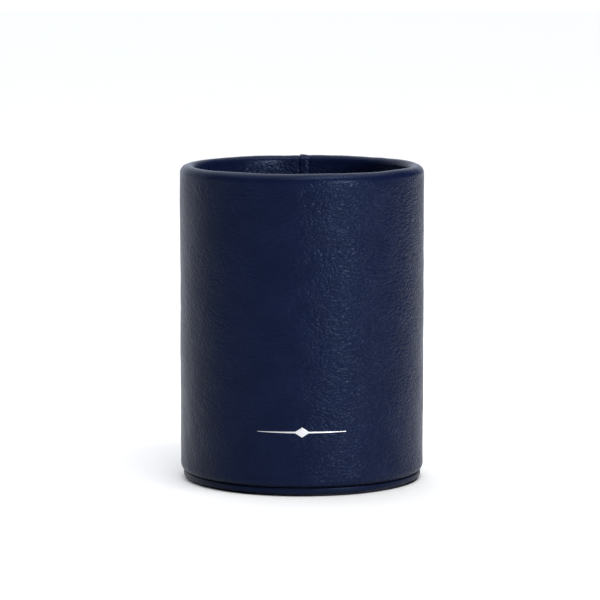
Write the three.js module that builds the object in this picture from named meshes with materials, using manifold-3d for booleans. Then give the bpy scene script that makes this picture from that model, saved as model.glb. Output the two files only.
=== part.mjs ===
// A round pen cup covered in leather. Millimetres, +Z up: the cup stands on Z = 0 and its axis is Z.
// Its front, with the foil ornament, faces -Y, and the leather's lap seam runs down the back.
//
// The wall is a paperboard tube. Outside it is one sheet of leather, lapped at the back, turned in over the
// rim and turned under the foot. Inside is a sleeve of card faced with lining, whose folded top edge covers
// the end of the turned-in leather. A board plugs the tube's foot, a lined card on it is the floor, and a
// board covered in leather, with felt beneath it, closes the foot.

import * as THREE from "three";
import { mergeVertices } from "three/addons/utils/BufferGeometryUtils.js";
import Module from "manifold-3d";

const wasm = await Module();
wasm.setup();

// Driving dimensions
const CUP_DIAMETER = 82;
const TOTAL_HEIGHT = 106;
const BASE_DIAMETER = 80.2;
const GLUE = 0.1; // every glued joint

// The leather cover and the tube that it is wrapped round
const COVER_THICKNESS = 1.2;
const TURN_IN_THICKNESS = 0.9; // where the leather is thinned to lie inside the rim
const SKIVED_END = 0.3; // what is left of it where the lining covers its end
const TUBE_WALL = 2.4;
const FOOT_ROUND = 3.2; // eases the lower edge for an eighth of a circle, before the leather turns under
const FOOT_CORNER = 0.5;
const RIM_ROUND = 2.7; // the outer half of the rim; the inner half follows from the wall
const TURN_IN_DEPTH = 16; // from the rim's top to the hidden end of the leather
const LINING_DEPTH = 11; // from the rim's top to the lining's upper edge
const TURN_UNDER_WIDTH = 6.5;
const TURN_UNDER_END = 0.6;

// The lap seam
const SEAM_WIDTH = 3.6;
const SEAM_RISE = 0.35;
const SEAM_OFFSET_X = 1;
const SEAM_FOOT = 2; // the lap is beaten flat below this height of the cup
const SEAM_FADE = 1; // and it fades out over this height just above the lining's edge

// The inside
const TUBE_FLOOR = 3;
const SLEEVE_CARD = 0.5;
const LINING_THICKNESS = 0.4;
const SLEEVE_STEP = 2; // the height over which the sleeve steps in to clear the end of the leather
const LINING_LAP_RISE = 0.25;
const LINING_LAP_FOOT = 2.5; // the lining's own lap starts here, just clear of the floor
const FLOOR_CARD = 0.8;
const FLOOR_LINING = 0.5;
const FLOOR_TURN_UNDER = 0.4;
const FLOOR_PLAY = 0.2;

// The base
const FELT_THICKNESS = 0.5;
const FELT_RADIUS = 38;
const BASE_BOARD = 1;
const BASE_LEATHER = 0.6;
const BASE_LEATHER_EDGE = 0.7;
const BASE_LEATHER_UNDER = 0.5;
const BASE_TOP_ROUND = 0.3;
const BASE_FOOT_ROUND = 1;
const BASE_TURN_UNDER_RADIUS = 33;

// The foil ornament, a tapered rule through a lozenge
const FOIL_THICKNESS = 0.1;
const FOIL_GAP = 0.05;
const ORNAMENT_HEIGHT = 21.5; // its middle, above the desk
const RULE_HALF_LENGTH = 14.6;
const RULE_HALF_WIDTH = 0.3;
const LOZENGE_HALF_LENGTH = 2.6;
const LOZENGE_HALF_HEIGHT = 1.7;

// Facets
const SIDES = 80;
const COVER_ARC_DIVISIONS = 2; // an arc gets twice as many facets as this
const ARC_DIVISIONS = 1;

// Radii and heights that follow from those
const cupRadius = CUP_DIAMETER / 2;
const tubeOuter = cupRadius - COVER_THICKNESS - GLUE;
const tubeInner = tubeOuter - TUBE_WALL;
const turnInRadius = tubeInner - GLUE; // the tube's side of the turned-in leather, and of the lining
const mouthRadius = turnInRadius - TURN_IN_THICKNESS;
const crownRadius = cupRadius - RIM_ROUND; // where the rim is highest
const footRadius = cupRadius - FOOT_ROUND;
const cornerOffset = (FOOT_ROUND - FOOT_CORNER) * Math.SQRT1_2; // from the easing's centre to the corner's
const footCentre = cornerOffset + FOOT_CORNER; // above the underside of the cup

const baseHeight = FELT_THICKNESS + BASE_LEATHER_UNDER + BASE_BOARD + BASE_LEATHER + 3 * GLUE;
const cupFoot = baseHeight + GLUE;
const cupHeight = TOTAL_HEIGHT - cupFoot;
const rimCentre = cupHeight - RIM_ROUND;
const floorPlate = COVER_THICKNESS + GLUE; // underside of the tube and of the board that plugs it
const skiveFoot = cupHeight - TURN_IN_DEPTH; // the hidden end of the turned-in leather

const sleeveFoot = floorPlate + TUBE_FLOOR + GLUE;
const sleeveTop = cupHeight - LINING_DEPTH;
const overLeather = mouthRadius - GLUE; // the glued face of the sleeve at its top edge
const overSkive = turnInRadius - SKIVED_END - GLUE; // and where the leather ends
const turnDown = LINING_THICKNESS + GLUE; // what the turned-down lining takes up behind the card
const liningDepth = SLEEVE_CARD + GLUE + LINING_THICKNESS;

const quarter = Math.PI / 2;

// A cross-section (radius across, height up) turned about the cup's axis.
function turned(section, divisions = ARC_DIVISIONS) {
  return new THREE.LatheGeometry(section.getPoints(divisions), SIDES).rotateX(quarter);
}

// A flat disc whose underside is at height 0.
function disc(radius, thickness) {
  const cylinder = new THREE.CylinderGeometry(radius, radius, thickness, SIDES);
  return cylinder.rotateX(quarter).translate(0, 0, thickness / 2);
}

function toSolid(geometry) {
  const bare = geometry.clone();
  bare.deleteAttribute("normal");
  bare.deleteAttribute("uv");
  const merged = mergeVertices(bare);
  return new wasm.Manifold(
    new wasm.Mesh({
      numProp: 3,
      vertProperties: merged.attributes.position.array,
      triVerts: new Uint32Array(merged.index.array),
    }),
  );
}

function toGeometry(solid) {
  const mesh = solid.getMesh();
  const geometry = new THREE.BufferGeometry();
  geometry.setAttribute("position", new THREE.BufferAttribute(mesh.vertProperties, 3));
  geometry.setIndex(new THREE.BufferAttribute(mesh.triVerts, 1));
  geometry.computeVertexNormals();
  return geometry;
}

// The strip at the back where a wrapped sheet lies over its own other end: a copy of the sheet, raised and
// cut to the seam's width, joined to the sheet itself.
function lapped(sheet, raisedSheet, foot) {
  const slab = new THREE.BoxGeometry(SEAM_WIDTH, cupRadius * 2, cupHeight * 2);
  slab.translate(SEAM_OFFSET_X, cupRadius * 1.5, cupHeight + foot);
  return toGeometry(toSolid(sheet).add(toSolid(raisedSheet).intersect(toSolid(slab))));
}

// The leather cover, from the end of its turn-under, up the outside, over the rim and down to the end of its
// turn-in. A raised copy stands off the tube by that much, except where the lining presses its end flat.
function coverSection(raise) {
  const underEnd = footRadius - TURN_UNDER_WIDTH;
  const cornerRadius = footRadius + cornerOffset;
  const fleshFoot = FOOT_ROUND - COVER_THICKNESS + raise;
  const fleshFootAngle = Math.asin((footCentre - COVER_THICKNESS + raise) / fleshFoot);
  const grainLip = crownRadius - mouthRadius;
  const fleshLip = crownRadius - turnInRadius;
  const fleshLipCentre = rimCentre + RIM_ROUND - COVER_THICKNESS - fleshLip;
  const pressedFlat = sleeveTop + SEAM_FADE;
  const section = new THREE.Shape();
  section.moveTo(underEnd, COVER_THICKNESS - TURN_UNDER_END - raise);
  section.lineTo(cornerRadius - TURN_UNDER_END, -raise);
  section.absarc(cornerRadius, FOOT_CORNER, FOOT_CORNER + raise, -quarter, -quarter / 2, false);
  section.absarc(footRadius, footCentre, FOOT_ROUND + raise, -quarter / 2, 0, false);
  section.absarc(crownRadius, rimCentre, RIM_ROUND + raise, 0, quarter, false);
  section.absarc(crownRadius, cupHeight - grainLip, grainLip + raise, quarter, 2 * quarter, false);
  section.lineTo(mouthRadius - raise, pressedFlat + SEAM_FADE);
  section.lineTo(mouthRadius, pressedFlat);
  section.lineTo(turnInRadius - SKIVED_END, skiveFoot);
  section.lineTo(turnInRadius, skiveFoot);
  section.lineTo(turnInRadius - raise, pressedFlat + SEAM_FADE);
  section.absarc(crownRadius, fleshLipCentre, fleshLip + raise, 2 * quarter, quarter, true);
  section.absarc(crownRadius, rimCentre, RIM_ROUND - COVER_THICKNESS + raise, quarter, 0, true);
  section.absarc(footRadius, footCentre, fleshFoot, 0, -fleshFootAngle, true);
  section.lineTo(underEnd, COVER_THICKNESS - raise);
  section.closePath();
  return section;
}

function coverGeometry() {
  const sheet = turned(coverSection(0), COVER_ARC_DIVISIONS);
  const raisedSheet = turned(coverSection(SEAM_RISE), COVER_ARC_DIVISIONS);
  return lapped(sheet, raisedSheet, SEAM_FOOT);
}

// The paperboard tube, with its rim rounded over and its foot eased to take the leather.
function tubeSection() {
  const skin = COVER_THICKNESS + GLUE;
  const lip = crownRadius - tubeInner;
  const footAngle = Math.asin((footCentre - skin) / (FOOT_ROUND - skin));
  const section = new THREE.Shape();
  section.moveTo(tubeInner, floorPlate);
  section.absarc(footRadius, footCentre, FOOT_ROUND - skin, -footAngle, 0, false);
  section.absarc(crownRadius, rimCentre, RIM_ROUND - skin, 0, quarter, false);
  section.absarc(crownRadius, rimCentre + RIM_ROUND - skin - lip, lip, quarter, 2 * quarter, false);
  section.closePath();
  return section;
}

// A line up the sleeve at a depth from its glued face: straight up from the foot, a step inwards to clear the
// end of the turned-in leather, and on up to the sleeve's top edge, or a little short of it.
function sleeveLine(depth, shortBy = 0) {
  return [
    new THREE.Vector2(turnInRadius - depth, sleeveFoot),
    new THREE.Vector2(turnInRadius - depth, skiveFoot - SLEEVE_STEP),
    new THREE.Vector2(overSkive - turnDown - depth, skiveFoot),
    new THREE.Vector2(overLeather - turnDown - depth, sleeveTop - shortBy),
  ];
}

// The turned solid between two such lines.
function sleeveLayer(line, innerLine) {
  const section = new THREE.Shape([...line, ...innerLine.reverse()]);
  section.closePath();
  return turned(section);
}

// The lining sheet: up the inside of the card, over its top edge in a round fold, and down behind the card.
function liningGeometry() {
  const edge = overLeather - turnDown - liningDepth;
  const fold = (overLeather - edge) / 2;
  const sheet = new THREE.Shape(sleeveLine(liningDepth - LINING_THICKNESS));
  sheet.lineTo(overLeather - LINING_THICKNESS, sleeveTop);
  sheet.lineTo(overSkive - LINING_THICKNESS, skiveFoot);
  sheet.lineTo(overSkive, skiveFoot);
  sheet.absarc(overLeather - fold, sleeveTop, fold, 0, 2 * quarter, false);
  for (const point of sleeveLine(liningDepth).reverse()) sheet.lineTo(point.x, point.y);
  sheet.closePath();
  const lapBack = sleeveLine(liningDepth - LINING_THICKNESS / 2);
  const lapFace = sleeveLine(liningDepth + LINING_LAP_RISE);
  return lapped(turned(sheet), sleeveLayer(lapBack, lapFace), sleeveFoot + LINING_LAP_FOOT);
}

// A skin over a round board: it covers the top, goes round the edge, and is turned under to an inner radius.
function coveredDisc({ radius, height, top, edge, under, topRound, footRound, underRadius }) {
  const section = new THREE.Shape();
  section.moveTo(underRadius, 0);
  section.absarc(radius - footRound, footRound, footRound, -quarter, 0, false);
  section.absarc(radius - topRound, height - topRound, topRound, 0, quarter, false);
  section.lineTo(0, height);
  section.lineTo(0, height - top);
  section.lineTo(radius - edge, height - top);
  section.lineTo(radius - edge, under);
  section.lineTo(underRadius, under);
  section.closePath();
  return turned(section);
}

// The foil ornament: its outline, seen from the front, cut out of a thin ring just off the leather.
function ornamentGeometry() {
  const inside = cupRadius + FOIL_GAP;
  const band = new THREE.Shape();
  band.moveTo(inside, -LOZENGE_HALF_HEIGHT * 2);
  band.lineTo(inside + FOIL_THICKNESS, -LOZENGE_HALF_HEIGHT * 2);
  band.lineTo(inside + FOIL_THICKNESS, LOZENGE_HALF_HEIGHT * 2);
  band.lineTo(inside, LOZENGE_HALF_HEIGHT * 2);
  band.closePath();

  const outline = new THREE.Shape();
  outline.moveTo(-RULE_HALF_LENGTH, 0);
  for (const side of [-1, 1]) {
    outline.lineTo(side * LOZENGE_HALF_LENGTH, side * RULE_HALF_WIDTH);
    outline.lineTo(0, side * LOZENGE_HALF_HEIGHT);
    outline.lineTo(-side * LOZENGE_HALF_LENGTH, side * RULE_HALF_WIDTH);
    outline.lineTo(-side * RULE_HALF_LENGTH, 0);
  }
  const punch = new THREE.ExtrudeGeometry(outline, { depth: cupRadius, bevelEnabled: false });
  punch.rotateX(quarter).translate(0, -RULE_HALF_LENGTH, 0);
  return toGeometry(toSolid(turned(band)).intersect(toSolid(punch)));
}

// Materials
function finish(color, roughness, metalness = 0) {
  return new THREE.MeshStandardMaterial({ color, roughness, metalness });
}

const grainedLeather = finish(0x1f2647, 0.55);
const smoothLeather = finish(0x1b2142, 0.42);
const liningSheet = finish(0x171b30, 0.7);
const greyboard = finish(0x9a9184, 0.9);
const felt = finish(0x20222e, 0.95);
const silverFoil = finish(0xd3d4d6, 0.28, 1);

function piece(name, geometry, material, height = 0) {
  const mesh = new THREE.Mesh(geometry, material);
  mesh.name = name;
  mesh.position.z = height;
  return mesh;
}

// The base, built up from the desk
const base = new THREE.Group();
const baseFoot = FELT_THICKNESS + GLUE;
const baseRadius = BASE_DIAMETER / 2;
const baseCover = coveredDisc({
  radius: baseRadius,
  height: baseHeight - baseFoot,
  top: BASE_LEATHER,
  edge: BASE_LEATHER_EDGE,
  under: BASE_LEATHER_UNDER,
  topRound: BASE_TOP_ROUND,
  footRound: BASE_FOOT_ROUND,
  underRadius: BASE_TURN_UNDER_RADIUS,
});
const baseBoard = disc(baseRadius - BASE_LEATHER_EDGE - GLUE, BASE_BOARD);
base.add(piece("base_felt", disc(FELT_RADIUS, FELT_THICKNESS), felt));
base.add(piece("base_leather", baseCover, smoothLeather, baseFoot));
base.add(piece("base_board", baseBoard, greyboard, baseFoot + BASE_LEATHER_UNDER + GLUE));

// The covered tube, which stands on the base
const cup = new THREE.Group();
cup.position.z = cupFoot;
cup.add(piece("outer_leather", coverGeometry(), grainedLeather));
cup.add(piece("core_tube", turned(tubeSection()), greyboard));
cup.add(piece("tube_floor", disc(tubeInner - GLUE, TUBE_FLOOR), greyboard, floorPlate));
cup.add(piece("foil_ornament", ornamentGeometry(), silverFoil, ORNAMENT_HEIGHT - cupFoot));

// The lining, which goes into the covered tube
const floorRadius = turnInRadius - liningDepth - FLOOR_PLAY;
const floorHeight = FLOOR_TURN_UNDER + FLOOR_CARD + FLOOR_LINING + 2 * GLUE;
const floorCover = coveredDisc({
  radius: floorRadius,
  height: floorHeight,
  top: FLOOR_LINING,
  edge: FLOOR_LINING,
  under: FLOOR_TURN_UNDER,
  topRound: FLOOR_LINING,
  footRound: FLOOR_TURN_UNDER,
  underRadius: floorRadius - TURN_UNDER_WIDTH,
});
const floorCard = disc(floorRadius - FLOOR_LINING - GLUE, FLOOR_CARD);
cup.add(piece("sleeve_card", sleeveLayer(sleeveLine(0, GLUE), sleeveLine(SLEEVE_CARD, GLUE)), greyboard));
cup.add(piece("lining_wall", liningGeometry(), liningSheet));
cup.add(piece("floor_card", floorCard, greyboard, sleeveFoot + FLOOR_TURN_UNDER + GLUE));
cup.add(piece("floor_lining", floorCover, liningSheet, sleeveFoot));

const penCup = new THREE.Group();
penCup.add(base, cup);

export default penCup;
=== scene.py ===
"""The looks of the leather pen cup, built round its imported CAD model.

Sections, thicknesses and grain are in millimetres, and each mesh is scaled to metres as it is made. The
studio is in metres. The cup's axis is Z, its front faces -Y, and the leather's lap seam is at the back.
"""

import math

import bmesh
import bpy
import numpy as np
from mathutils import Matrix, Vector


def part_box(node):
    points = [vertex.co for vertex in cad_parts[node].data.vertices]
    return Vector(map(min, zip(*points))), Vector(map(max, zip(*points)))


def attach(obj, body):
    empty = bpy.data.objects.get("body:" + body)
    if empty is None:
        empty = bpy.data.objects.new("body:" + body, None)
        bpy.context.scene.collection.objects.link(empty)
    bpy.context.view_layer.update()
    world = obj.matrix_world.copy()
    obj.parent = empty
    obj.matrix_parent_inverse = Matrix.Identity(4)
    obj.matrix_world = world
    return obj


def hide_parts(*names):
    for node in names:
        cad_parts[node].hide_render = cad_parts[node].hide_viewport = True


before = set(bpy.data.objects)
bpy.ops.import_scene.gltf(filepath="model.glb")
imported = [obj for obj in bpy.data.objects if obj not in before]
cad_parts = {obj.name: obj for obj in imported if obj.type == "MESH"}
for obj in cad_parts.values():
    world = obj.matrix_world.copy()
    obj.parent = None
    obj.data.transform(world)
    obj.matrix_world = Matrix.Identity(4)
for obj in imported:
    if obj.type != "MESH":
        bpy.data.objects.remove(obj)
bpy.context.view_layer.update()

MM = 0.001

# The leather cover: thicknesses, rounds and seam as in the CAD model
COVER_THICKNESS = 1.2
TURN_IN_THICKNESS = 0.9
SKIVED_END = 0.3
FOOT_ROUND = 3.2
FOOT_CORNER = 0.5
RIM_ROUND = 2.7
TURN_IN_DEPTH = 16
TURN_UNDER_WIDTH = 6.5
TURN_UNDER_END = 0.6
SEAM_WIDTH = 3.6
SEAM_RISE = 0.35
SEAM_X = 1.0

# How a lap looks: its cut edge, its feathered end in seam widths, and the nip pressed in along the edge
LAP_CUT = (-0.1, 0.25)
LAP_FEATHER = (0.3, 1.05)
NIP_WIDTH = 0.35
NIP_SHARE = 0.3  # of the lap's rise

# The lining and its cards, as in the CAD model
GLUE = 0.1
WALL_IN = 3.8  # from the cup's outside to the glued face of its lining
SLEEVE_CARD = 0.5
LINING_THICKNESS = 0.4
LINING_LAP_RISE = 0.25
SLEEVE_STEP = 2
FLOOR_LINING = 0.5
FLOOR_TURN_UNDER = 0.4

# The base's leather, as in the CAD model but for a slightly rounder top edge
BASE_TOP_ROUND = 0.55
BASE_FOOT_ROUND = 1.0
BASE_SKIN = (0.6, 0.7, 0.5)  # over the board, round its edge and under it
BASE_TURN_UNDER = 7.1

# Mesh density: the columns all round and how many of them are at the seam, within SEAM_REACH of its middle
COVER_COLUMNS = (400, 40)
SLEEVE_COLUMNS = (260, 36)
FLOOR_COLUMNS = (240, 0)
BASE_COLUMNS = (420, 0)
FELT_COLUMNS = (320, 0)
SEAM_REACH = 4.0
WALL_ROWS = 150
FOIL_COLUMNS = 181
FOIL_ROWS = 9
FOIL_GATHER = 1.3  # a power that brings the foil's columns closer together at the lozenge

# Handwork: waves, each with a size, a seed, a count, the most turns round the cup and the shortest pitch
COVER_HOLLOWS = (0.045, 11, 14, 9, 30)
COVER_SHALLOWS = (0.02, 12, 18, 30, 9)
COVER_WRINKLES = (0.008, 14, 28, 48, 3)
COVER_PUCKERS = (0.035, 13, 8, 64, 40)
BASE_EDGE = (0.05, 21, 10, 14, 12)
PLEAT_DRIFT = (1, 22, 5, 9, 10)
LINING_RIPPLES = (0.05, 31, 14, 10, 26)
LINING_FINE_RIPPLES = (0.015, 32, 12, 40, 8)
FLOOR_UNEVENNESS = (0.03, 41, 12, 7, 11)
FELT_NAP = (0.02, 51, 16, 60, 3)
FELT_CUT = (0.06, 52, 14, 90, 10)
PINCH_DEPTH = 0.03
PINCH_REACH = 5
PINCHES = 2.6  # radians of the pinches' wave to a millimetre
PLEATS = 84
PLEAT_DEPTH = 0.1
FLOOR_DOME = 0.3
FELT_SOFT_EDGE = 0.12

# The foil ornament, a tapered rule through a lozenge
RULE_HALF_WIDTH = 0.3
LOZENGE = (2.6, 1.7)
FOIL_TIP = 0.05
FOIL_PROUD = 0.1
FOIL_SUNK = -0.02

# The grain of the cover's leather. A flatness is a pebble's or wrinkle's width over its height. A wander
# bends the rows: it is the size of the bends and how far they reach.
ROW_WANDER = (13, 9)
PEBBLE_WANDER = (2.2, 1.4)
WRINKLE_WANDER = (4, 2.5)
CREASE_WANDER = (5, 5)
PEBBLE_SIZE = 1.6
PEBBLE_FLATNESS = 1.65
PEBBLE_DOME = 0.18
CRACK_DEPTH = 0.05
WRINKLE_SIZE = 1.25
WRINKLE_FLATNESS = 1.95
WRINKLE_HEIGHT = 0.22
CREASE_SPACING = 6.5
CREASE_FLATNESS = 1.5
CREASE_DEPTH = 0.05
FINE_GRAIN = 0.012
FINE_SIZE = 0.3
PATCH_SIZE = 10
RIM_GRAIN = 0.2  # the grain's share that is left on the drawn rim
STRETCHED_SIDE = (-51, -36)  # of x + y: the hide is smoother on the front left of the wall
STRETCHED_GRAIN = 0.4
WALL_ROUGHNESS = 0.28
RIM_GLOSS = 0.05
# height of the band of painted shade at the cup's foot, where it meets the base
FOOT_SHADE_HEIGHT = 1.1

# Colours
NAVY_DEEP = (0.0031, 0.0058, 0.0218, 1)
NAVY_LIGHT = (0.0041, 0.0073, 0.026, 1)
# darkens the cracks between pebbles as painted shade
CRACK_SHADE = (0.85, 0.85, 0.87, 1)
# near-black painted shade for the groove between the cup and its base
PAINTED_GROOVE_SHADE = (0.0012, 0.0015, 0.004, 1)
BASE_DEEP = (0.0024, 0.0045, 0.0165, 1)
BASE_LIGHT = (0.0032, 0.0058, 0.02, 1)
LEATHER_SPECULAR = 0.1
LEATHER_SPECULAR_TINT = (0.5, 0.65, 1.0, 1.0)
LEATHER_SHEEN_TINT = (0.25, 0.45, 1.0, 1.0)
LINING_DEEP = (0.0035, 0.0055, 0.016, 1)
LINING_LIGHT = (0.007, 0.0105, 0.029, 1)
LINING_SHEEN_TINT = (0.2, 0.3, 0.7, 1.0)
FELT_DEEP = (0.009, 0.010, 0.017, 1)
FELT_LIGHT = (0.024, 0.026, 0.038, 1)
FELT_SHEEN_TINT = (0.5, 0.55, 0.7, 1.0)
FLECK_SHADE = (0.6, 0.58, 0.55, 1)
FOIL_BRIGHT = (0.78, 0.79, 0.81, 1)
FOIL_WORN = (0.34, 0.35, 0.42, 1)
FLOOR_PALE = (0.935, 0.937, 0.94, 1)
FLOOR_PALEST = (0.95, 0.95, 0.95, 1)
WHITE = (1, 1, 1, 1)

# The studio, in metres and watts
STUDIO_FLOOR = 8
LAMP_AIM = (0, 0, 0.05)
KEY_PLACE = (0.735, -0.94, 0.25)
KEY_SIZE = (0.26, 0.12)
KEY_POWER = 13.5
TOP_PLACE = (0.3, -0.42, 1.2)
TOP_SIZE = (0.85, 0.12)
TOP_POWER = 7.5

# The world's light, by the parts of a unit vector that points to it: where each stretch starts and is full
WALL_EDGE = (-0.3, 0.8)
WALL_STRENGTH = 1.15
WALL_TINT = (0.82, 0.88, 0.98, 1)
RIGHT_WALL_FADE = (0.0, 0.7)
CEILING_EDGE = (0.6, 0.85)
CEILING_STRENGTH = 1.65

# The camera. Its distance from the cup's axis and its height are in cup diameters, its angles in radians.
LENS = 206
CAMERA_DISTANCE = 14.02
CAMERA_HEIGHT = 2.473
CAMERA_PITCH = 0.1235
CAMERA_YAW = 0.00058


def box_mm(node):
    """A node's lowest and highest corners in millimetres."""
    low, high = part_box(node)
    return np.array(low) / MM, np.array(high) / MM


cover_low, cover_high = box_mm("outer_leather")
base_low, base_high = box_mm("base_leather")
felt_high = box_mm("base_felt")[1]
sleeve_low, sleeve_high = box_mm("lining_wall")
floor_low, floor_high = box_mm("floor_lining")
foil_low, foil_high = box_mm("foil_ornament")

CUP_RADIUS = cover_high[0]
CUP_FOOT = cover_low[2]
RIM_TOP = cover_high[2] - SEAM_RISE
RIM_CENTRE = RIM_TOP - RIM_ROUND
CROWN_RADIUS = CUP_RADIUS - RIM_ROUND
GLUED_RADIUS = CUP_RADIUS - WALL_IN
MOUTH_RADIUS = GLUED_RADIUS - TURN_IN_THICKNESS
SKIVE_FOOT = RIM_TOP - TURN_IN_DEPTH
BASE_RADIUS = base_high[0]
FELT_RADIUS = felt_high[0]
FLOOR_RADIUS = floor_high[0]
FLOOR_TOP = floor_high[2]

# The sleeve of lined card: the lining is turned down behind the card, over a round fold
TURN_DOWN = LINING_THICKNESS + GLUE
LINING_DEPTH = SLEEVE_CARD + GLUE + LINING_THICKNESS
FOLD = (TURN_DOWN + LINING_DEPTH) / 2
LINING_TOP = sleeve_high[2]
FOLD_CENTRE = LINING_TOP - FOLD

FRONT = -math.pi / 2
SEAM_ANGLE = math.pi / 2 - math.asin(SEAM_X / CUP_RADIUS)


# Turned sections. Each row is a radius, a height and a skin: 1 where the surface shows, 0 where it is glued.

def line(start, end, steps, skin=1):
    """Points from start to end, without the last."""
    t = np.linspace(0, 1, steps, endpoint=False)[:, None]
    points = np.array(start) * (1 - t) + np.array(end) * t
    return np.column_stack([points, np.full(steps, float(skin))])


def arc(centre, radius, start, end, steps, skin=1):
    """Points on an arc from one angle to another in degrees, without the last."""
    a = np.radians(np.linspace(start, end, steps, endpoint=False))
    r = centre[0] + radius * np.cos(a)
    z = centre[1] + radius * np.sin(a)
    return np.column_stack([r, z, np.full(steps, float(skin))])


def columns(count, seam_count):
    """Angles right round, some of them close together near the lap seam."""
    reach = SEAM_REACH / CUP_RADIUS if seam_count else 0
    near = np.linspace(-reach, reach, seam_count, endpoint=False)
    far = np.linspace(reach, 2 * math.pi - reach, count - seam_count, endpoint=False)
    return SEAM_ANGLE + np.concatenate([near, far])


def outward(section):
    """The unit normal at each point of a closed section."""
    along = np.roll(section, -1, axis=0) - np.roll(section, 1, axis=0)
    normal = np.column_stack([along[:, 1], -along[:, 0]])
    return normal / np.maximum(np.linalg.norm(normal, axis=1, keepdims=True), 1e-9)


def make_object(name, points, faces):
    """A smooth-shaded mesh from points in millimetres, with points that coincide joined."""
    mesh = bpy.data.meshes.new(name)
    mesh.from_pydata((np.asarray(points) * MM).tolist(), [], np.asarray(faces).tolist())
    obj = bpy.data.objects.new(name, mesh)
    bpy.context.scene.collection.objects.link(obj)
    joined = bmesh.new()
    joined.from_mesh(mesh)
    bmesh.ops.remove_doubles(joined, verts=joined.verts, dist=1e-7)
    bmesh.ops.recalc_face_normals(joined, faces=joined.faces)
    joined.to_mesh(mesh)
    joined.free()
    mesh.shade_smooth()
    return obj


def turned(name, section, angles, relief):
    """A closed section turned about Z. relief(angle, radius, height) moves its skin along the normal."""
    r, z, skin = section[:, :1], section[:, 1:2], section[:, 2:]
    theta = angles[None, :]
    move = relief(theta, r, z) * skin
    normal = outward(section[:, :2])
    r = np.maximum(r + move * normal[:, :1], 0)
    z = z + move * normal[:, 1:]
    x, y = r * np.cos(theta), r * np.sin(theta)
    points = np.stack([x, y, np.broadcast_to(z, x.shape)], axis=-1).reshape(-1, 3)
    rows, cols = x.shape
    i = np.arange(rows)[:, None]
    j = np.arange(cols)[None, :]
    up, on = (i + 1) % rows, (j + 1) % cols
    corners = [i * cols + j, i * cols + on, up * cols + on, up * cols + j]
    return make_object(name, points, np.stack(corners, axis=-1).reshape(-1, 4))


def smooth_step(low, high, x):
    """0 at low, 1 at high and a smooth climb between; high may be the lower of the two."""
    t = np.clip((x - low) / (high - low), 0, 1)
    return t * t * (3 - 2 * t)


def waves(theta, height, handwork):
    """Smooth unevenness: a sum of waves that run round the cup and along it."""
    size, seed, count, turns, pitch = handwork
    draw = np.random.default_rng(seed)
    total = 0
    for _ in range(count):
        m = draw.integers(-turns, turns + 1)
        k = draw.uniform(-1, 1) * 2 * math.pi / pitch
        total = total + np.sin(m * theta + k * height + draw.uniform(0, 2 * math.pi))
    return size * (total / math.sqrt(count / 2))


def from_seam(theta):
    """Distance round the cup from the middle of the lap, towards +X."""
    turn = (SEAM_ANGLE - theta + math.pi) % (2 * math.pi) - math.pi
    return turn * CUP_RADIUS


def lap(theta, rise):
    """A lap's rise: a cut edge on one side, feathered down on the other, and a nip before the edge."""
    from_edge = from_seam(theta) + SEAM_WIDTH / 2
    thick, thin = LAP_FEATHER
    feathered = 1 - smooth_step(thick * SEAM_WIDTH, thin * SEAM_WIDTH, from_edge)
    nip = np.exp(-(((from_edge + NIP_WIDTH) / NIP_WIDTH) ** 2))
    return rise * (smooth_step(*LAP_CUT, from_edge) * feathered - NIP_SHARE * nip)


# The leather cover

def cover_section():
    """Round the cover, from the end of its turn-under, up the outside and back along its glued side."""
    foot_radius = CUP_RADIUS - FOOT_ROUND
    offset = (FOOT_ROUND - FOOT_CORNER) * math.sqrt(0.5)
    foot_centre = CUP_FOOT + offset + FOOT_CORNER
    corner = (foot_radius + offset, CUP_FOOT + FOOT_CORNER)
    before_corner = (corner[0] - TURN_UNDER_END, CUP_FOOT)
    under_end = foot_radius - TURN_UNDER_WIDTH
    lip = CROWN_RADIUS - MOUTH_RADIUS
    flesh_lip = CROWN_RADIUS - GLUED_RADIUS
    flesh_lip_centre = RIM_TOP - COVER_THICKNESS - flesh_lip
    flesh_radius = CUP_RADIUS - COVER_THICKNESS
    flesh_foot = FOOT_ROUND - COVER_THICKNESS
    flesh_angle = math.degrees(math.asin((foot_centre - CUP_FOOT - COVER_THICKNESS) / flesh_foot))
    flesh_corner = foot_radius + flesh_foot * math.cos(math.radians(flesh_angle))
    skived = GLUED_RADIUS - SKIVED_END
    return np.concatenate([
        line((under_end, CUP_FOOT + TURN_UNDER_END), before_corner, 3),
        line(before_corner, (corner[0], CUP_FOOT), 2),
        arc(corner, FOOT_CORNER, -90, -45, 4),
        arc((foot_radius, foot_centre), FOOT_ROUND, -45, 0, 9),
        line((CUP_RADIUS, foot_centre), (CUP_RADIUS, RIM_CENTRE), WALL_ROWS),
        arc((CROWN_RADIUS, RIM_CENTRE), RIM_ROUND, 0, 90, 14),
        arc((CROWN_RADIUS, RIM_TOP - lip), lip, 90, 180, 12),
        line((MOUTH_RADIUS, RIM_TOP - lip), (MOUTH_RADIUS, LINING_TOP), 14),
        line((MOUTH_RADIUS, LINING_TOP), (skived, SKIVE_FOOT), 3, 0),
        line((skived, SKIVE_FOOT), (GLUED_RADIUS, SKIVE_FOOT), 1, 0),
        line((GLUED_RADIUS, SKIVE_FOOT), (GLUED_RADIUS, flesh_lip_centre), 2, 0),
        arc((CROWN_RADIUS, flesh_lip_centre), flesh_lip, 180, 90, 3, 0),
        arc((CROWN_RADIUS, RIM_CENTRE), RIM_ROUND - COVER_THICKNESS, 90, 0, 3, 0),
        line((flesh_radius, RIM_CENTRE), (flesh_radius, foot_centre), 3, 0),
        arc((foot_radius, foot_centre), flesh_foot, 0, -flesh_angle, 3, 0),
        line((flesh_corner, CUP_FOOT + COVER_THICKNESS), (under_end, CUP_FOOT + COVER_THICKNESS), 2, 0),
    ])


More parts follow.
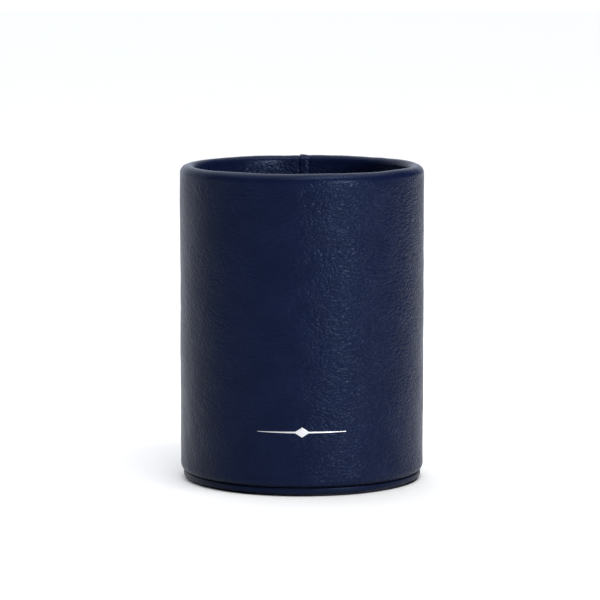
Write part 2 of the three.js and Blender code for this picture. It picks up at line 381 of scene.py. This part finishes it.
def cover_relief(theta, r, z):
    """The hand-wrapped leather: unevenness, tight puckers where it is turned in, and the lap at the back."""
    inside = np.where(r < CROWN_RADIUS, 1.0, 0.0)
    down_inside = inside * smooth_step(RIM_TOP - 1, LINING_TOP, z)
    above_foot = smooth_step(CUP_FOOT, CUP_FOOT + 1.5, z)
    pressed = np.where(inside > 0, smooth_step(LINING_TOP + 0.5, LINING_TOP + 2, z), 1)
    beaten = smooth_step(CUP_FOOT + 2, CUP_FOOT + 4, z)
    hollows = waves(theta, z, COVER_HOLLOWS) + waves(theta, z, COVER_SHALLOWS)
    wrinkles = waves(theta, z, COVER_WRINKLES)
    puckers = waves(theta, z, COVER_PUCKERS) * down_inside
    aside = from_seam(theta)
    pinch = np.exp(-((aside / PINCH_REACH) ** 2)) * np.sin(aside * PINCHES) * inside * PINCH_DEPTH
    at_seam = (lap(theta, SEAM_RISE) + pinch) * pressed * beaten
    return above_foot * (hollows + wrinkles) + puckers * pressed + at_seam


def cover_surface(theta, z):
    """The radius of the cover's outside, on its straight wall."""
    return CUP_RADIUS + cover_relief(theta, CUP_RADIUS, z)


# The base, the lining, the floor and the felt

def covered_disc(low, high, radius, skin, rounds, under_radius):
    """Round a skin over a board: it covers the top, goes round the edge and is turned under."""
    top, edge, under = skin
    top_round, foot_round = rounds
    return np.concatenate([
        line((under_radius, low), (radius - foot_round, low), 10),
        arc((radius - foot_round, low + foot_round), foot_round, -90, 0, 8),
        line((radius, low + foot_round), (radius, high - top_round), 4),
        arc((radius - top_round, high - top_round), top_round, 0, 90, 5),
        line((radius - top_round, high), (0, high), 24),
        line((0, high), (0, high - top), 1, 0),
        line((0, high - top), (radius - edge, high - top), 2, 0),
        line((radius - edge, high - top), (radius - edge, low + under), 1, 0),
        line((radius - edge, low + under), (under_radius, low + under), 2, 0),
    ])


def base_relief(theta, r, z):
    """A slightly uneven edge, with the small pleats of leather turned under a round board."""
    under = smooth_step(base_low[2] + 0.7, base_low[2], z) * smooth_step(BASE_RADIUS, BASE_RADIUS - 1.5, r)
    pleats = PLEAT_DEPTH * np.abs(np.sin(PLEATS / 2 * theta + waves(theta, 0, PLEAT_DRIFT))) * under
    edge = waves(theta, z, BASE_EDGE) * smooth_step(BASE_RADIUS - 4, BASE_RADIUS - 1, r)
    return edge - pleats


def sleeve_line(depth, steps, skin):
    """Down the sleeve at a depth from its glued face, over the step that clears the end of the leather."""
    over_skive = GLUED_RADIUS - SKIVED_END - GLUE
    over_leather = MOUTH_RADIUS - GLUE
    foot = (GLUED_RADIUS - depth, sleeve_low[2])
    below = (GLUED_RADIUS - depth, SKIVE_FOOT - SLEEVE_STEP)
    skive = (over_skive - TURN_DOWN - depth, SKIVE_FOOT)
    top = (over_leather - TURN_DOWN - depth, FOLD_CENTRE)
    upper, middle, lower = steps
    return np.concatenate([
        line(top, skive, upper, skin),
        line(skive, below, middle, skin),
        line(below, foot, lower, skin),
        line(foot, foot, 1, 0),
    ])


def sleeve_section():
    """Round the lining: up its glued side, over the fold and down the side that shows."""
    back = LINING_DEPTH - LINING_THICKNESS
    over_leather = MOUTH_RADIUS - GLUE
    over_skive = GLUED_RADIUS - SKIVED_END - GLUE
    tuck = (over_skive - LINING_THICKNESS, SKIVE_FOOT)
    return np.concatenate([
        sleeve_line(back, (2, 1, 3), 0)[::-1],
        line((over_leather - LINING_THICKNESS, FOLD_CENTRE), tuck, 2, 0),
        line(tuck, (over_skive, SKIVE_FOOT), 1, 0),
        line((over_skive, SKIVE_FOOT), (over_leather, FOLD_CENTRE), 2, 0),
        arc((over_leather - FOLD, FOLD_CENTRE), FOLD, 0, 180, 10),
        sleeve_line(LINING_DEPTH, (6, 4, 78), 1),
    ])


def sleeve_relief(theta, r, z):
    """The lining's slight ripples, and its own lap, which is pressed flat at the fold and at the floor."""
    ripples = waves(theta, z, LINING_RIPPLES) + waves(theta, z, LINING_FINE_RIPPLES)
    flat = smooth_step(FLOOR_TOP, FLOOR_TOP + 2, z) * smooth_step(LINING_TOP, FOLD_CENTRE - 1, z)
    settled = smooth_step(sleeve_low[2], FLOOR_TOP + 3, z)
    return ripples * settled + lap(theta, LINING_LAP_RISE) * flat


def floor_relief(theta, r, z):
    """The covered card lies nearly flat and is softly domed by the cloth on it."""
    dome = FLOOR_DOME * (1 - (r / FLOOR_RADIUS) ** 2)
    return np.where(z > FLOOR_TOP - 0.1, dome + waves(theta, r, FLOOR_UNEVENNESS), 0)


def felt_section():
    """A cut disc of felt with a slightly soft lower edge."""
    height = felt_high[2]
    soft = FELT_SOFT_EDGE
    return np.concatenate([
        line((0, 0), (FELT_RADIUS - soft, 0), 30),
        arc((FELT_RADIUS - soft, soft), soft, -90, 0, 3),
        line((FELT_RADIUS, soft), (FELT_RADIUS, height), 3),
        line((FELT_RADIUS, height), (0, height), 4),
        line((0, height), (0, 0), 1),
    ])


def felt_relief(theta, r, z):
    """A cut edge that wanders a little, and a nap that only ever lies above the desk."""
    edge = smooth_step(FELT_RADIUS - 0.3, FELT_RADIUS, r)
    off_desk = smooth_step(0, 0.1, z)
    nap = np.abs(waves(theta, 2 * r, FELT_NAP)) * smooth_step(2, 6, r)
    return waves(theta, 0, FELT_CUT) * edge * off_desk - nap * (1 - edge)


# The foil ornament

def ornament_outline():
    """Places along the rule and the ornament's half height at each: the rule's taper or the lozenge."""
    half_length = foil_high[0]
    lozenge_length, lozenge_height = LOZENGE
    along = np.linspace(-1, 1, FOIL_COLUMNS)
    x = half_length * np.sign(along) * np.abs(along) ** FOIL_GATHER
    rule = FOIL_TIP + (RULE_HALF_WIDTH - FOIL_TIP) * (1 - np.abs(x) / half_length)
    return x, np.maximum(rule, lozenge_height * (1 - np.abs(x) / lozenge_length))


def ornament():
    """A thin plate that follows the leather: a face in front of it, one just under it, and an edge."""
    x, half_height = ornament_outline()
    middle = (foil_low[2] + foil_high[2]) / 2
    theta = FRONT + np.arcsin(x / CUP_RADIUS)
    theta = np.broadcast_to(theta[:, None], (x.size, FOIL_ROWS))
    z = middle + half_height[:, None] * np.linspace(-1, 1, FOIL_ROWS)[None, :]
    leather = cover_surface(theta, z)
    sheets = []
    for proud in (FOIL_PROUD, FOIL_SUNK):
        r = leather + proud
        sheets.append(np.stack([r * np.cos(theta), r * np.sin(theta), z], axis=-1).reshape(-1, 3))
    behind = x.size * FOIL_ROWS
    at = np.arange(behind).reshape(x.size, FOIL_ROWS)
    front_faces = np.stack([at[:-1, :-1], at[1:, :-1], at[1:, 1:], at[:-1, 1:]], axis=-1).reshape(-1, 4)
    rim = np.concatenate([at[:-1, 0], at[-1, :-1], at[:0:-1, -1], at[0, :0:-1]])
    after = np.roll(rim, -1)
    edge_faces = np.stack([rim, rim + behind, after + behind, after], axis=-1)
    faces = np.concatenate([front_faces, front_faces[:, ::-1] + behind, edge_faces])
    return make_object("foil_rule", np.concatenate(sheets), faces)


# Materials

class NodeTree:
    """A node tree whose nodes are added one call at a time."""

    def __init__(self, owner):
        owner.use_nodes = True
        self.nodes = owner.node_tree.nodes
        self.links = owner.node_tree.links

    def add(self, kind, inputs=None, **settings):
        node = self.nodes.new(kind)
        for key, value in settings.items():
            setattr(node, key, value)
        self.plug(node, inputs or {})
        return node

    def plug(self, node, inputs):
        for key, value in inputs.items():
            if isinstance(value, bpy.types.NodeSocket):
                self.links.new(value, node.inputs[key])
            else:
                node.inputs[key].default_value = value

    def math(self, operation, a, b=0.0):
        return self.add("ShaderNodeMath", {0: a, 1: b}, operation=operation).outputs[0]

    def vector(self, operation, inputs):
        return self.add("ShaderNodeVectorMath", inputs, operation=operation).outputs[0]

    def span(self, value, low, high, to_low=0.0, to_high=1.0):
        """value from low to high, smoothed and clamped, turned into to_low to to_high."""
        inputs = {0: value, 1: low, 2: high, 3: to_low, 4: to_high}
        return self.add("ShaderNodeMapRange", inputs, interpolation_type="SMOOTHSTEP").outputs[0]

    def total(self, *values):
        result = values[0]
        for value in values[1:]:
            result = self.math("ADD", result, value)
        return result

    def layers(self, *patterns):
        """The sum of patterns, each given with its size."""
        return self.total(*(self.math("MULTIPLY", pattern, size) for pattern, size in patterns))

    def blend(self, factor, a, b, how="MIX"):
        """A mix of two colours."""
        inputs = {0: factor, 6: a, 7: b}
        return self.add("ShaderNodeMix", inputs, data_type="RGBA", blend_type=how).outputs[2]

    def axes(self, vector):
        """A vector's x, y and z."""
        return self.add("ShaderNodeSeparateXYZ", {0: vector}).outputs


class Shader(NodeTree):
    """A material. place is the object's own coordinates, in metres."""

    def __init__(self, name):
        self.material = bpy.data.materials.new(name)
        super().__init__(self.material)
        self.surface = self.nodes["Principled BSDF"]
        self.place = self.add("ShaderNodeTexCoord").outputs["Object"]

    def noise(self, size, detail=3, place=None, rough=0.5):
        """Noise whose features are about size mm across."""
        inputs = {"Vector": place or self.place, "Scale": 1 / (size * MM)}
        return self.add("ShaderNodeTexNoise", {**inputs, "Detail": detail, "Roughness": rough})

    def cells(self, size, feature, place, **inputs):
        """Voronoi cells about size mm across."""
        settings = {"Vector": place, "Scale": 1 / (size * MM), **inputs}
        return self.add("ShaderNodeTexVoronoi", settings, feature=feature).outputs["Distance"]

    def warped(self, size, reach, stretch=(1, 1, 1), place=None):
        """The object's coordinates, or a place made from them, pushed about by up to reach mm."""
        push = self.vector("SUBTRACT", {0: self.noise(size).outputs["Color"], 1: (0.5, 0.5, 0.5)})
        push = self.vector("SCALE", {0: push, "Scale": reach * MM})
        moved = self.vector("ADD", {0: place or self.place, 1: push})
        return self.vector("MULTIPLY", {0: moved, 1: stretch})

    def finish(self, relief, **inputs):
        """Sets the surface, with a relief in millimetres, and gives back the material."""
        bump = self.add("ShaderNodeBump", {"Height": relief, "Strength": 1.0, "Distance": MM}).outputs[0]
        self.plug(self.surface, {"Normal": bump})
        self.plug(self.surface, {key.replace("_", " "): value for key, value in inputs.items()})
        return self.material


def leather_grain(s):
    """The relief of pebbled calf in millimetres, and how far each point is from a crack between pebbles."""
    rows = s.warped(*ROW_WANDER)
    pebbled = s.warped(*PEBBLE_WANDER, (1, 1, PEBBLE_FLATNESS), rows)
    wrinkled = s.warped(*WRINKLE_WANDER, (1, 1, WRINKLE_FLATNESS), rows)
    creased = s.warped(*CREASE_WANDER, (1, 1, CREASE_FLATNESS))
    pebble = s.cells(PEBBLE_SIZE, "SMOOTH_F1", pebbled, Smoothness=0.4)
    crack = s.cells(PEBBLE_SIZE, "DISTANCE_TO_EDGE", pebbled)
    wrinkle = s.noise(WRINKLE_SIZE, 2, wrinkled).outputs["Fac"]
    crease = s.cells(CREASE_SPACING, "DISTANCE_TO_EDGE", creased)
    relief = s.total(
        s.math("MULTIPLY", pebble, -PEBBLE_DOME),
        s.span(crack, 0.0, 0.16, 0.0, CRACK_DEPTH),
        s.math("MULTIPLY", wrinkle, WRINKLE_HEIGHT),
        s.span(crease, 0.0, 0.05, -CREASE_DEPTH, 0.0),
    )
    return relief, crack


def grained_leather():
    """Pebbled calf, drawn smooth over the rim and on the front left, with painted shade at the foot and in
    the cracks.
    """
    s = Shader("grained_leather")
    x, y, height = s.axes(s.place)
    coarse, crack = leather_grain(s)
    fine = s.noise(FINE_SIZE, 2).outputs["Fac"]
    patches = s.noise(PATCH_SIZE, 3).outputs["Fac"]
    on_wall = s.span(height, (RIM_CENTRE - 3) * MM, (RIM_CENTRE + 1.5) * MM, 1.0, RIM_GRAIN)
    smooth_end, grained_end = STRETCHED_SIDE
    stretched = s.span(s.math("ADD", x, y), smooth_end * MM, grained_end * MM, STRETCHED_GRAIN, 1.0)
    drawn = s.math("MULTIPLY", on_wall, stretched)
    firmness = s.math("MULTIPLY", s.span(patches, 0.35, 0.65, 0.8, 1.2), drawn)
    relief = s.layers((coarse, firmness), (fine, FINE_GRAIN))
    navy = s.blend(s.span(patches, 0.3, 0.7), NAVY_DEEP, NAVY_LIGHT)
    # the cracks between pebbles are darkened as painted shade
    in_cracks = s.blend(s.span(crack, 0.0, 0.2), CRACK_SHADE, WHITE)
    navy_and_crack_shade = s.blend(1.0, navy, in_cracks, "MULTIPLY")
    # painted shade: the wall darkens to near-black at its foot, where it meets the base
    above_foot = s.span(height, CUP_FOOT * MM, (CUP_FOOT + FOOT_SHADE_HEIGHT) * MM)
    colour = s.blend(above_foot, PAINTED_GROOVE_SHADE, navy_and_crack_shade)
    rim_gloss = s.span(on_wall, RIM_GRAIN, 1.0, -RIM_GLOSS, 0.0)
    matt_cracks = s.span(crack, 0.0, 0.2, 0.05, 0.0)
    roughness = s.total(matt_cracks, s.math("MULTIPLY", fine, 0.06), rim_gloss, WALL_ROUGHNESS)
    return s.finish(
        relief, Base_Color=colour, Roughness=roughness,
        Specular_IOR_Level=LEATHER_SPECULAR, Specular_Tint=LEATHER_SPECULAR_TINT,
        Sheen_Weight=0.03, Sheen_Roughness=0.4, Sheen_Tint=LEATHER_SHEEN_TINT,
    )


def smooth_leather():
    """The plain thin leather of the base, with a trace of grain, and painted shade where the cup stands on
    it.
    """
    s = Shader("smooth_leather")
    height = s.axes(s.place)[2]
    pores = s.cells(0.9, "SMOOTH_F1", s.warped(2.5, 0.8), Smoothness=0.6)
    fine = s.noise(0.25, 2).outputs["Fac"]
    patches = s.noise(7, 4).outputs["Fac"]
    relief = s.layers((pores, -0.02), (fine, 0.01))
    navy = s.blend(s.span(patches, 0.3, 0.7), BASE_DEEP, BASE_LIGHT)
    # painted shade: the top of the base darkens to near-black just under the cup's foot
    under_cup_shade = s.span(height, (base_high[2] - 0.35) * MM, (base_high[2] - 0.1) * MM)
    colour = s.blend(under_cup_shade, navy, PAINTED_GROOVE_SHADE)
    roughness = s.span(patches, 0.25, 0.75, 0.34, 0.42)
    return s.finish(
        relief, Base_Color=colour, Roughness=roughness,
        Specular_IOR_Level=LEATHER_SPECULAR, Specular_Tint=LEATHER_SPECULAR_TINT,
    )


def lining_cloth(name):
    """A dark navy suedette: a short nap with brushed patches."""
    s = Shader(name)
    nap = s.noise(0.22, 4, rough=0.7).outputs["Fac"]
    brushed = s.noise(6, 3).outputs["Fac"]
    relief = s.layers((nap, 0.06), (brushed, 0.05))
    shade = s.layers((brushed, 0.7), (nap, 0.4))
    colour = s.blend(s.span(shade, 0.35, 0.75), LINING_DEEP, LINING_LIGHT)
    roughness = s.span(brushed, 0.2, 0.8, 0.85, 0.95)
    return s.finish(
        relief, Base_Color=colour, Roughness=roughness, Specular_IOR_Level=0.1,
        Sheen_Weight=0.1, Sheen_Roughness=0.4, Sheen_Tint=LINING_SHEEN_TINT,
    )


def felt_cloth():
    """Charcoal felt, with matted fibres."""
    s = Shader("felt_cloth")
    fibres = s.noise(0.35, 5, s.warped(1.5, 1.5), rough=0.75).outputs["Fac"]
    clumps = s.noise(2.5, 3).outputs["Fac"]
    relief = s.layers((fibres, 0.15), (clumps, 0.08))
    shade = s.layers((fibres, 0.6), (clumps, 0.4))
    colour = s.blend(s.span(shade, 0.35, 0.65), FELT_DEEP, FELT_LIGHT)
    roughness = s.span(clumps, 0.2, 0.8, 0.9, 1.0)
    return s.finish(
        relief, Base_Color=colour, Roughness=roughness, Specular_IOR_Level=0.2,
        Sheen_Weight=0.15, Sheen_Roughness=0.5, Sheen_Tint=FELT_SHEEN_TINT,
    )


def board(name, pale, dark, fleck_size):
    """Pressed paper board: pale and dark flecks of fibre in a matt grey-brown."""
    s = Shader(name)
    flecks = s.noise(fleck_size, 6, s.warped(2, 1.5), rough=0.8).outputs["Fac"]
    cloud = s.noise(12, 3).outputs["Fac"]
    relief = s.layers((flecks, 0.06), (cloud, 0.05))
    body = s.blend(s.span(cloud, 0.3, 0.7), pale, dark)
    shade = s.blend(s.span(flecks, 0.45, 0.68), WHITE, FLECK_SHADE)
    colour = s.blend(1.0, body, shade, "MULTIPLY")
    roughness = s.span(flecks, 0.3, 0.7, 0.82, 0.95)
    return s.finish(relief, Base_Color=colour, Roughness=roughness, Specular_IOR_Level=0.25)


def silver_foil():
    """Hot-stamped foil that takes on a trace of the leather's grain and is worn through in specks."""
    s = Shader("silver_foil")
    grain = s.cells(1.1, "SMOOTH_F1", s.warped(3.2, 1.1), Smoothness=0.5)
    specks = s.noise(0.35, 4, rough=0.7).outputs["Fac"]
    relief = s.layers((grain, -0.03), (specks, 0.01))
    colour = s.blend(s.span(specks, 0.62, 0.7), FOIL_BRIGHT, FOIL_WORN)
    roughness = s.span(specks, 0.3, 0.7, 0.3, 0.45)
    return s.finish(relief, Base_Color=colour, Roughness=roughness, Metallic=1.0)


def pale_floor():
    """A plain pale floor with barely visible cloudiness."""
    s = Shader("pale_floor")
    cloud = s.noise(60, 3).outputs["Fac"]
    colour = s.blend(s.span(cloud, 0.2, 0.8), FLOOR_PALE, FLOOR_PALEST)
    roughness = s.span(cloud, 0.2, 0.8, 0.7, 0.8)
    return s.finish(s.layers((cloud, 0.01)), Base_Color=colour, Roughness=roughness)


# The pieces

def place_piece(obj, node, material):
    """obj stands for a CAD node, in the given material."""
    obj.data.materials.append(material)
    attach(obj, "root")
    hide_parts(node)


def cup_floor():
    """The lining over the floor's card, turned under it."""
    skin = (FLOOR_LINING, FLOOR_LINING, FLOOR_TURN_UNDER)
    rounds = (FLOOR_LINING, FLOOR_TURN_UNDER)
    under_radius = FLOOR_RADIUS - TURN_UNDER_WIDTH
    section = covered_disc(floor_low[2], FLOOR_TOP, FLOOR_RADIUS, skin, rounds, under_radius)
    return turned("cup_floor", section, columns(*FLOOR_COLUMNS), floor_relief)


def base_cover():
    """The base's leather, turned under its board."""
    rounds = (BASE_TOP_ROUND, BASE_FOOT_ROUND)
    under_radius = BASE_RADIUS - BASE_TURN_UNDER
    section = covered_disc(base_low[2], base_high[2], BASE_RADIUS, BASE_SKIN, rounds, under_radius)
    return turned("base_cover", section, columns(*BASE_COLUMNS), base_relief)


def build_pieces():
    """The visible pieces. Each stands for a CAD node and has a material of its own."""
    cover = turned("leather_wrap", cover_section(), columns(*COVER_COLUMNS), cover_relief)
    base = base_cover()
    sleeve = turned("sleeve_lining", sleeve_section(), columns(*SLEEVE_COLUMNS), sleeve_relief)
    floor = cup_floor()
    felt = turned("felt_disc", felt_section(), columns(*FELT_COLUMNS), felt_relief)
    foil = ornament()
    place_piece(cover, "outer_leather", grained_leather())
    place_piece(base, "base_leather", smooth_leather())
    place_piece(sleeve, "lining_wall", lining_cloth("wall_lining"))
    place_piece(floor, "floor_lining", lining_cloth("floor_lining"))
    place_piece(felt, "base_felt", felt_cloth())
    place_piece(foil, "foil_ornament", silver_foil())
    return cover, base, sleeve, floor, felt, foil


def finish_hidden_boards():
    """The boards and cards inside keep their CAD shapes."""
    tube = board("tube_board", (0.36, 0.31, 0.25, 1), (0.28, 0.25, 0.2, 1), 0.5)
    plug = board("plug_board", (0.33, 0.3, 0.25, 1), (0.27, 0.25, 0.21, 1), 0.7)
    card = board("lining_card", (0.42, 0.39, 0.33, 1), (0.34, 0.31, 0.26, 1), 0.35)
    finishes = {
        "core_tube": tube,
        "tube_floor": plug,
        "base_board": plug,
        "sleeve_card": card,
        "floor_card": card,
    }
    for node, material in finishes.items():
        for material_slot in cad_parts[node].material_slots:
            material_slot.material = material


# The studio

def softbox(name, place, size, power):
    """A rectangular lamp that faces the cup's middle and is not seen itself."""
    light = bpy.data.lights.new(name, "AREA")
    light.shape = "RECTANGLE"
    light.size, light.size_y = size
    light.energy = power
    lamp = bpy.data.objects.new(name, light)
    lamp.location = place
    backwards = Vector(place) - Vector(LAMP_AIM)
    lamp.rotation_euler = backwards.to_track_quat("Z", "Y").to_euler()
    lamp.visible_camera = False
    bpy.context.scene.collection.objects.link(lamp)
    return lamp


def keep_off_floor(lamp, pieces):
    """Makes a lamp light the cup alone, so that the floor shows no hard shadow of it."""
    lit = bpy.data.collections.new(lamp.name + "_lights")
    for piece in pieces:
        lit.objects.link(piece)
    lamp.light_linking.receiver_collection = lit


def build_studio(pieces):
    """A pale floor, a small low softbox at the front right and a long one above."""
    bpy.ops.mesh.primitive_plane_add(size=STUDIO_FLOOR)
    floor = bpy.context.object
    floor.name = "studio_floor"
    floor.data.materials.append(pale_floor())
    keep_off_floor(softbox("key", KEY_PLACE, KEY_SIZE, KEY_POWER), pieces)
    softbox("top", TOP_PLACE, TOP_SIZE, TOP_POWER)


def build_world():
    """White to the camera. As a light it is a bright ceiling and a cool wall behind and at the left."""
    world = bpy.data.worlds.new("studio")
    bpy.context.scene.world = world
    w = NodeTree(world)
    x, y, z = w.axes(w.add("ShaderNodeTexCoord").outputs["Generated"])
    behind = w.span(y, *WALL_EDGE, 0.0, WALL_STRENGTH)
    walls = w.math("MULTIPLY", behind, w.span(x, *RIGHT_WALL_FADE, 1.0, 0.0))
    overhead = w.span(z, *CEILING_EDGE)
    seen = w.add("ShaderNodeLightPath").outputs["Is Camera Ray"]
    light = w.total(walls, w.math("MULTIPLY", overhead, CEILING_STRENGTH))
    colour = w.blend(w.math("MAXIMUM", overhead, seen), WALL_TINT, WHITE)
    w.plug(w.nodes["Background"], {"Color": colour, "Strength": w.math("MAXIMUM", light, seen)})


def add_camera():
    """A long lens, in front of the cup and a little above it."""
    camera = bpy.data.cameras.new("camera")
    camera.lens = LENS
    obj = bpy.data.objects.new("camera", camera)
    diameter = 2 * CUP_RADIUS * MM
    obj.location = (0, -CAMERA_DISTANCE * diameter, CAMERA_HEIGHT * diameter)
    obj.rotation_euler = (math.pi / 2 - CAMERA_PITCH, 0, CAMERA_YAW)
    bpy.context.scene.collection.objects.link(obj)
    bpy.context.scene.camera = obj


bpy.context.scene.view_settings.view_transform = "Standard"
add_camera()
pieces = build_pieces()
finish_hidden_boards()
build_studio(pieces)
build_world()
